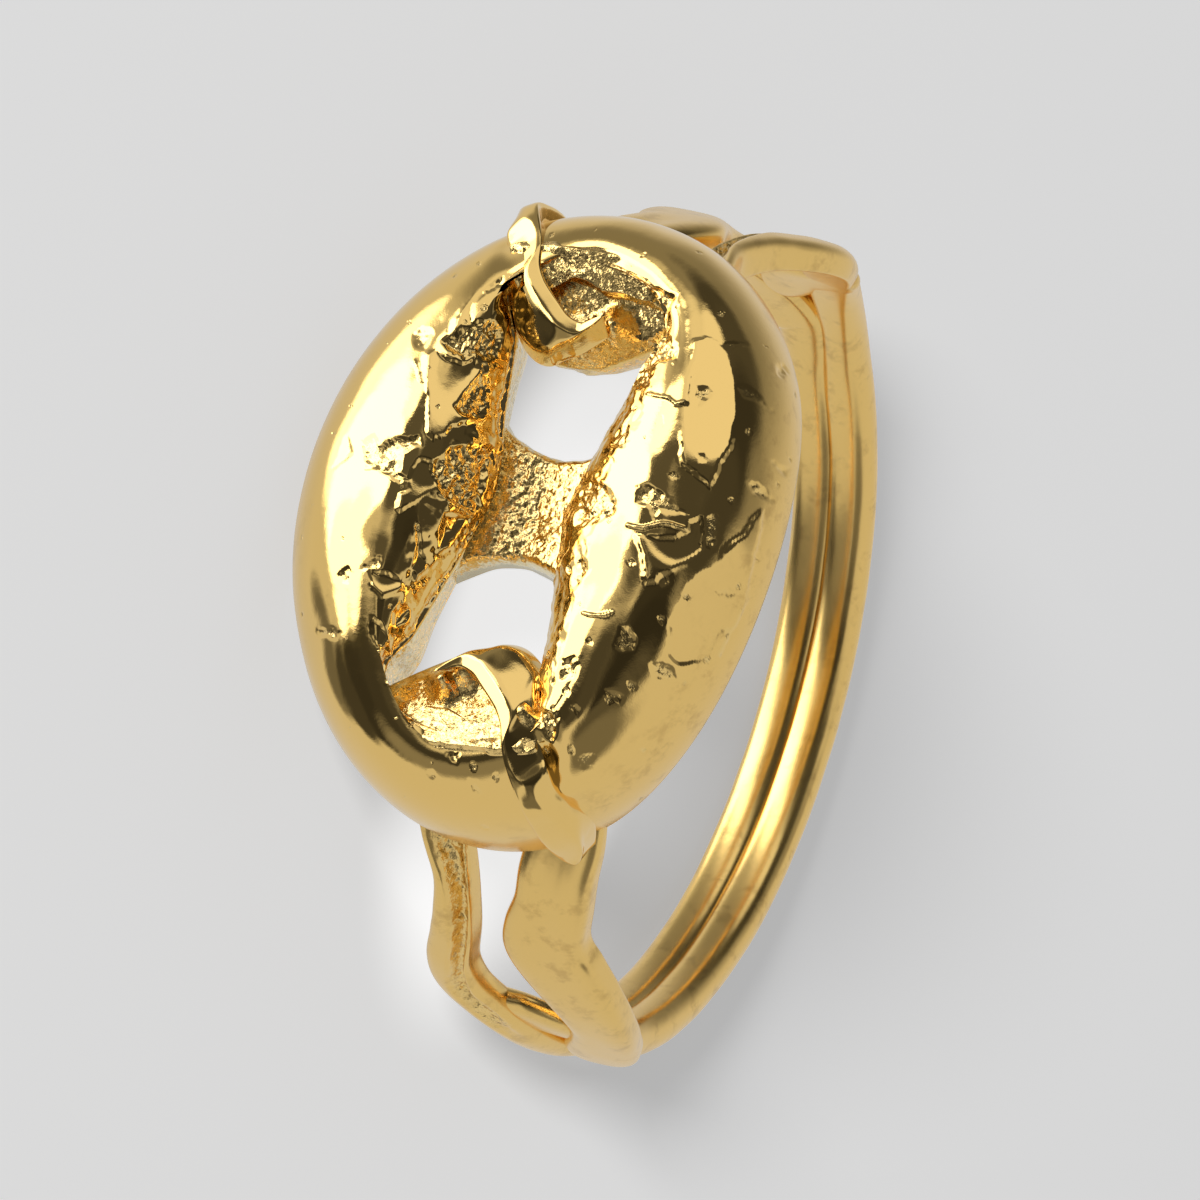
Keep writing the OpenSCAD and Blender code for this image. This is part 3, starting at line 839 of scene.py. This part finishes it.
hookBed = {
    "ledge": [(-2.0, -4.5), (-1.3, -3.95), (-.81, -3.62), (-.48, -3.38), (0, -3.25), (.5, -3.22),
              (1.0, -3.32), (1.5, -3.6), (1.85, -4.0), (2.1, -4.7), (1.6, -5.6), (-1.6, -5.6), (-2.1, -5.0)],
    "ledgeTop": 9.50,
    "shelf": [(-1.6, -4.78), (-.9, -4.88), (-.3, -4.86), (.2, -4.98), (.8, -5.0), (1.2, -4.85), (1.45, -4.2),
              (1.75, -4.05), (2.1, -4.5), (2.1, -5.4), (1.6, -5.6), (0, -5.8), (-1.6, -5.6)],
    "shelfTop": 9.86,
    "slope": (0.10, -0.20),
    "undercut": 0.28,
    "bowls": [(-1.0, -4.40, .36, .16), (.10, -4.60, .34, .20), (.85, -5.0, .28, .16)],
    # the metal rises towards the hook that lies on it: x, y, width, height
    "rise": [(-.62, -4.20, .34, .55), (-.2, -3.86, .36, .50), (.35, -3.72, .38, .34), (1.0, -4.0, .34, .30),
             (1.6, -4.6, .3, .35)],
    "grain": 0.016,
    # painted light: a faintly paler gold on the beds
    "finishAndPaintedLight": -0.05,
}


def shapeBed(outline, top, seed):
    closed = np.array([*outline, outline[0]], float)
    ring = softened(evenlyAlong(closed, runningLength(closed), 150, endpoint=False), 3, 0)
    middle = ring.mean(0)
    rows = []
    for k in np.linspace(0.02, 1, 30):
        flat = middle + (ring - middle) * k
        height = top + hookBed["slope"][0] * flat[:, 0] + hookBed["slope"][1] * (flat[:, 1] + 4.5)
        rows.append(np.column_stack([flat, height - 0.12 * smooth((k - 0.8) / 0.2)]))
    edge = rows[-1][:, 2]
    for k in np.linspace(0.15, 1, 7):
        flat = middle + (ring - middle) * (1 - hookBed["undercut"] * k * k)
        rows.append(np.column_stack([flat, edge + (boreTop(flat[:, 1], 0.01) - edge) * k]))
    for k in np.linspace(0.8, 0.02, 5):
        flat = middle + (ring - middle) * k * (1 - hookBed["undercut"])
        rows.append(np.column_stack([flat, boreTop(flat[:, 1], 0.01)]))
    grid = np.stack(rows, 0)
    move = hookBed["grain"] * (lumps(grid, 0.15, seed) + 0.6 * lumps(grid, 0.08, seed + 4))
    move = move + 0.05 * lumps(grid, 0.5, seed + 9)
    for x, y, radius, depth in hookBed["bowls"]:
        away = np.hypot(grid[..., 0] - x, grid[..., 1] - y)
        move = move - depth * np.exp(-(away / radius) ** 2)
    for x, y, radius, height in hookBed["rise"]:
        away = np.hypot(grid[..., 0] - x, grid[..., 1] - y)
        move = np.maximum(move, move * 0.3 + height * np.exp(-(away / radius) ** 2))
    grid[:31, :, 2] += move[:31]
    grid[24:36, :, :2] += (0.05 * lumps(grid[24:36], 0.3, seed + 2))[..., None]
    return grid, np.full(grid.shape[:2], 0.55)


# meshes

def gridFaces(columns, rows):
    # closed round its rows, open from the first column to the last
    index = np.arange(columns * rows).reshape(columns, rows)
    a, b = index[:-1], index[1:]
    a2, b2 = np.roll(a, -1, 1), np.roll(b, -1, 1)
    return np.stack([a.ravel(), b.ravel(), b2.ravel(), a2.ravel()], -1).tolist()


def makePiece(name, parts, material, normals=None):
    # parts: list of (grid, grain, finish and painted light, capped), each closed round its rows
    points, faces, grains, finishesAndPaintedLight, start = [], [], [], [], 0
    for grid, grain, finishAndPaintedLight, capped in parts:
        columns, rows = grid.shape[:2]
        faces += [[v + start for v in f] for f in gridFaces(columns, rows)]
        if capped:
            faces.append([start + r for r in range(rows)])
            faces.append([start + (columns - 1) * rows + r for r in range(rows)][::-1])
        points.append(grid.reshape(-1, 3))
        grains.append(grain.reshape(-1))
        finishesAndPaintedLight.append(np.broadcast_to(finishAndPaintedLight, grain.shape).reshape(-1))
        start += columns * rows
    points = np.concatenate(points)
    mesh = bpy.data.meshes.new(name)
    mesh.from_pydata(toFloor(points).tolist(), [], faces)
    mesh.update()
    bm = bmesh.new()
    bm.from_mesh(mesh)
    bmesh.ops.recalc_face_normals(bm, faces=bm.faces)
    bm.to_mesh(mesh)
    bm.free()
    mesh.shade_smooth()
    if normals is not None:
        turned = (toFloor(normals.reshape(-1, 3)) - toFloor(np.zeros(3))) * 1000
        mesh.normals_split_custom_set_from_vertices(turned.tolist())
    for label, values in (("grain", grains), ("finishAndPaintedLight", finishesAndPaintedLight)):
        layer = mesh.attributes.new(label, "FLOAT", "POINT")
        layer.data.foreach_set("value", np.concatenate(values).astype(np.float32))
    mesh.materials.append(material)
    piece = bpy.data.objects.new(name, mesh)
    bpy.context.scene.collection.objects.link(piece)
    print(name, len(mesh.polygons), "faces")
    return piece


def lobe(columns, shape, grain, finishAndPaintedLight, normals, name, material):
    part = (shape[columns], grain[columns], finishAndPaintedLight[columns], False)
    return makePiece(name, [part], material, normals[columns])


# gold

class Wire:
    # a node socket that can be used in sums
    def __init__(self, sheet, socket):
        self.sheet, self.socket = sheet, socket

    def math(self, operation, a, b):
        return self.sheet.add("ShaderNodeMath", {"operation": operation}, {0: a, 1: b})

    def __add__(self, other):
        return self.math("ADD", self, other)

    def __radd__(self, other):
        return self.math("ADD", other, self)

    def __sub__(self, other):
        return self.math("SUBTRACT", self, other)

    def __rsub__(self, other):
        return self.math("SUBTRACT", other, self)

    def __mul__(self, other):
        return self.math("MULTIPLY", self, other)

    def __rmul__(self, other):
        return self.math("MULTIPLY", other, self)


class Sheet:
    def __init__(self, tree):
        self.tree = tree
        tree.nodes.clear()

    def add(self, kind, settings=None, sockets=None, out=0):
        node = self.tree.nodes.new(kind)
        for key, value in (settings or {}).items():
            setattr(node, key, value)
        for key, value in (sockets or {}).items():
            if isinstance(value, Wire):
                self.tree.links.new(value.socket, node.inputs[key])
            else:
                node.inputs[key].default_value = value
        return Wire(self, node.outputs[out]) if len(node.outputs) else node

    def band(self, value, low, high):
        return self.add("ShaderNodeMapRange", {"interpolation_type": "SMOOTHSTEP"},
                        {"Value": value, "From Min": low, "From Max": high, "To Min": 0.0, "To Max": 1.0})

    def noise(self, place, scale, detail, roughness=0.5):
        sockets = {"Vector": place, "Scale": scale, "Detail": detail, "Roughness": roughness}
        return self.add("ShaderNodeTexNoise", {}, sockets)

    def vector(self, operation, a, b=None, out=0):
        sockets = {0: a} if b is None else {0: a, 1: b}
        return self.add("ShaderNodeVectorMath", {"operation": operation}, sockets, out)

    def scaled(self, a, amount):
        return self.add("ShaderNodeVectorMath", {"operation": "SCALE"}, {0: a, "Scale": amount})

    def mixColour(self, amount, a, b):
        return self.add("ShaderNodeMix", {"data_type": "RGBA"}, {"Factor": amount, 6: a, 7: b}, 2)


gold = {
    "bright": (0.94, 0.64, 0.215, 1.0),
    "pale": (0.95, 0.68, 0.26, 1.0),     # where the surface is crystalline
    "stain": (0.62, 0.40, 0.13, 1.0),    # duller patches on the satin parts
    "paintedPaleRecess": (0.95, 0.83, 0.53, 1.0),   # less orange where light bounces about in the slots
    # painted light: a paler, less orange gold on the slot walls, the shelf, the crossbar's sides and the hook
    # beds, standing in for light bouncing about there
    "polish": 0.045,
    "roughGrain": 0.21,
    "satin": 0.24,                       # strands and outer slopes are less polished than the crests
    "facets": 0.32,                      # how far the crystals of the rough places tilt
}


def goldMaterial():
    material = bpy.data.materials.new("castGold")
    material.use_nodes = True
    sheet = Sheet(material.node_tree)
    place = sheet.add("ShaderNodeTexCoord", out=3)
    grain = sheet.add("ShaderNodeAttribute", {"attribute_name": "grain"}, out=2)
    cloud = sheet.noise(place, 420.0, 3.0)
    speck = sheet.noise(place, 15000.0, 2.0, 0.6)
    skin = sheet.noise(place, 9000.0, 3.0, 0.6)
    dust = sheet.noise(place, 30000.0, 1.0)
    # the finish attribute is satin above zero, and below zero painted light: a paler gold in the recesses
    finishAndPaintedLight = sheet.add("ShaderNodeAttribute", {"attribute_name": "finishAndPaintedLight"}, out=2)
    satin = sheet.band(finishAndPaintedLight, 0.0, 1.0)
    paintedPaleRecess = sheet.band(finishAndPaintedLight, 0.0, -1.0)
    wear = sheet.band(cloud, 0.4, 0.65)
    rough = sheet.band(grain, 0.15, 0.75)
    tone = sheet.mixColour(rough, gold["bright"], gold["pale"])
    # painted light: the recesses get a paler, less orange gold
    tone = sheet.mixColour(paintedPaleRecess, tone, gold["paintedPaleRecess"])
    stained = 0.55 * sheet.band(sheet.noise(place, 1500.0, 4.0, 0.7), 0.50, 0.72)
    tone = sheet.mixColour(satin * stained, tone, gold["stain"])
    roughness = gold["polish"] + 0.03 * wear + satin * (gold["satin"] - gold["polish"])
    roughness = roughness + rough * (gold["roughGrain"] - roughness)

    # every crystal of a rough place is a small facet with its own tilt
    normal = sheet.add("ShaderNodeNewGeometry", out=1)
    for scale, share in ((11000.0, 1.0), (24000.0, 0.6)):
        crystal = sheet.add("ShaderNodeTexVoronoi", {"feature": "F1"}, {"Vector": place, "Scale": scale}, 1)
        tilt = sheet.vector("SUBTRACT", crystal, (0.5, 0.5, 0.5))
        normal = sheet.vector("ADD", normal, sheet.scaled(tilt, rough * (gold["facets"] * share)))
    normal = sheet.vector("NORMALIZE", normal)
    height = speck * rough * 0.5 + skin * 0.030 + dust * 0.018
    bump = sheet.add("ShaderNodeBump", {},
                     {"Height": height, "Strength": 1.0, "Distance": 0.00003, "Normal": normal})
    body = sheet.add("ShaderNodeBsdfPrincipled", {},
                     {"Base Color": tone, "Metallic": 1.0, "Roughness": roughness, "Normal": bump})
    sheet.add("ShaderNodeOutputMaterial", {}, {"Surface": body})
    return material


# studio

studio = {
    "paper": 0.66,                  # what the gold reflects where the tent has nothing else
    "backdrop": 0.72,
    "fill": 0.10,
    "floorHalf": 0.6,
    "floorColour": (0.80, 0.80, 0.80, 1.0),
    "floorGlow": 0.38,              # the pale floor is lit from below as well
    "holeGlow": 0.38,               # painted light: more glow on the floor under the finger hole, lifting the ring's shadow there
    "holeCentre": (0.0005, 0.001, 0.0),
    "holeSize": (0.0076, 0.0040, 1.0),
    "keyPower": 7.3,
    "keySize": 0.26,
    "keyPlace": (0.02, -0.92, 0.42),
    # soft lamps and shaded cards of the light tent, as the ring sees them: degrees right of the camera,
    # degrees above it, plain inner angle, angle where it has faded out, level
    "tent": [
        (100, 55, 8, 60, .20), (60, 88, 18, 40, .24), (-150, 10, 12, 34, .62), (85, 62, 14, 26, .06),
        (82, 42, 14, 26, .07), (68, 26, 16, 26, .04), (40, 16, 16, 28, .06), (12, 22, 14, 22, .07),
        (84, 8, 6, 18, .26), (2, 0, 16, 24, .04), (8, -16, 16, 26, .03), (8, -34, 14, 24, .10),
        (18, -54, 14, 26, .18), (-30, -6, 12, 22, .07), (-50, -6, 12, 20, .05), (-70, -12, 12, 19, .04),
        (-90, -14, 10, 17, .06), (-108, -8, 6, 14, .16), (-50, -24, 8, 20, .25), (34, 56, 15, 21, .90),
        (-24, 32, 12, 22, .10), (-14, 62, 8, 20, .85), (-102, 36, 12, 20, 2.5), (-80, 30, 18, 24, 4.0),
        (-60, 32, 13, 18, 4.0), (-44, 52, 8, 12, 3.0), (-78, 14, 10, 14, 3.0), (-62, 18, 10, 14, 3.0),
    ],
}


def placeCamera():
    right, up, back = (turnToFloor(axis) for axis in (cameraRight, cameraUp, cameraBack))
    photo = camera["photoSize"]
    data = bpy.data.cameras.new("photoCamera")
    data.sensor_width = 36.0
    data.lens = data.sensor_width * camera["distance"] / (photo / camera["pixelsPerMm"])
    data.shift_x = -(camera["centre"][0] - photo / 2) / photo
    data.shift_y = (camera["centre"][1] - photo / 2) / photo
    data.clip_start = 0.01
    eye = bpy.data.objects.new("photoCamera", data)
    place = Vector(toFloor(np.zeros(3))) + back * camera["distance"] * 0.001
    eye.matrix_world = Matrix.Translation(place) @ Matrix((right, up, back)).transposed().to_4x4()
    bpy.context.scene.collection.objects.link(eye)
    bpy.context.scene.camera = eye


def placeTent():
    world = bpy.data.worlds.new("lightTent")
    bpy.context.scene.world = world
    world.use_nodes = True
    sheet = Sheet(world.node_tree)
    direction = sheet.add("ShaderNodeTexCoord", out=0)
    level = studio["paper"]
    for azimuth, height, plainAngle, fadeAngle, strength in studio["tent"]:
        a, e = math.radians(azimuth), math.radians(height)
        towards = turnToFloor(cameraAxis(math.sin(a) * math.cos(e), math.sin(e), math.cos(a) * math.cos(e)))
        cosine = sheet.vector("DOT_PRODUCT", direction, tuple(towards), 1)
        inside = sheet.band(cosine, math.cos(math.radians(fadeAngle)), math.cos(math.radians(plainAngle)))
        level = inside * (strength - level) + level

    # the tent shows only in reflections that no diffuse bounce came before
    def plain(strength, grey=1.0):
        return sheet.add("ShaderNodeBackground", {}, {"Color": (grey, grey, grey, 1.0), "Strength": strength})

    direct, mirror, spread = (sheet.add("ShaderNodeLightPath", out=out) for out in (0, 3, 10))
    reflects = mirror * (1.0 - sheet.band(spread, 0.0, 1.0))
    mixed = sheet.add("ShaderNodeMixShader", {}, {0: reflects, 1: plain(studio["fill"]), 2: plain(level)})
    mixed = sheet.add("ShaderNodeMixShader", {}, {0: direct, 1: mixed, 2: plain(1.0, studio["backdrop"])})
    sheet.add("ShaderNodeOutputWorld", {}, {"Surface": mixed})


def placeFloor():
    paper = bpy.data.materials.new("paleFloor")
    paper.use_nodes = True
    sheet = Sheet(paper.node_tree)
    away = sheet.vector("SUBTRACT", sheet.add("ShaderNodeTexCoord", out=3), studio["holeCentre"])
    away = sheet.vector("LENGTH", sheet.vector("DIVIDE", away, studio["holeSize"]), out=1)
    # painted light: the floor glows more in a patch under the finger hole, where the ring's shadow falls
    glow = studio["floorGlow"] + studio["holeGlow"] * (1 - sheet.band(away, 0.75, 1.35))
    glow = sheet.mixColour(glow, (0.0, 0.0, 0.0, 1.0), (1.0, 1.0, 1.0, 1.0))
    body = sheet.add("ShaderNodeBsdfPrincipled", {}, {"Base Color": studio["floorColour"], "Roughness": 0.9,
                                                      "Specular IOR Level": 0.0, "Emission Color": glow,
                                                      "Emission Strength": 1.0})
    sheet.add("ShaderNodeOutputMaterial", {}, {"Surface": body})
    size = studio["floorHalf"]
    mesh = bpy.data.meshes.new("paleFloor")
    corners = [(-size, -size, 0), (size, -size, 0), (size, size, 0), (-size, size, 0)]
    mesh.from_pydata(corners, [], [(0, 1, 2, 3)])
    mesh.materials.append(paper)
    floor = bpy.data.objects.new("paleFloor", mesh)
    floor.visible_glossy = False
    bpy.context.scene.collection.objects.link(floor)


def placeKey():
    lamp = bpy.data.lights.new("softKey", "AREA")
    lamp.shape = "DISK"
    lamp.size = studio["keySize"]
    lamp.energy = studio["keyPower"]
    key = bpy.data.objects.new("softKey", lamp)
    key.location = studio["keyPlace"]
    key.rotation_euler = (-Vector(studio["keyPlace"])).to_track_quat("-Z", "Y").to_euler()
    key.visible_glossy = False
    key.visible_camera = False
    bpy.context.scene.collection.objects.link(key)


# build

castGold = goldMaterial()
print("gold ready")

linkShape, linkGrain, linkFinishAndPaintedLight, linkNormals = shapeLink()
quarter = link["columns"] // 4
rightLobe = np.arange(-quarter, quarter + 1) % link["columns"]
leftLobe = np.arange(quarter, 3 * quarter + 1)
print("link ready")

strands = [(*shapeHook(), hook["finishAndPaintedLight"], True)]
strands += [(*band, strand["finishAndPaintedLight"], True) for band in shapeStrand()]
beds = [(*shapeBed(hookBed["ledge"], hookBed["ledgeTop"], 51), hookBed["finishAndPaintedLight"], True),
        (*shapeBed(hookBed["shelf"], hookBed["shelfTop"], 71), hookBed["finishAndPaintedLight"], True)]
print("strands and beds ready")


def atFarEnd(parts):
    return [(halfTurn(grid), *rest) for grid, *rest in parts]


pieces = [
    lobe(rightLobe, linkShape, linkGrain, linkFinishAndPaintedLight, linkNormals, "rightLobe", castGold),
    lobe(leftLobe, linkShape, linkGrain, linkFinishAndPaintedLight, linkNormals, "leftLobe", castGold),
    makePiece("hookedStrandNear", strands, castGold),
    makePiece("hookedStrandFar", atFarEnd(strands), castGold),
    makePiece("crossbar", [(*shapeBar(), True)], castGold),
    makePiece("hookBeds", beds + atFarEnd(beds), castGold),
]
for piece in pieces:
    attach(piece, "root")
    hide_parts("ring")
print("ring ready")

placeCamera()
placeTent()
placeFloor()
placeKey()
bpy.context.scene.view_settings.view_transform = "Standard"
print("studio ready")
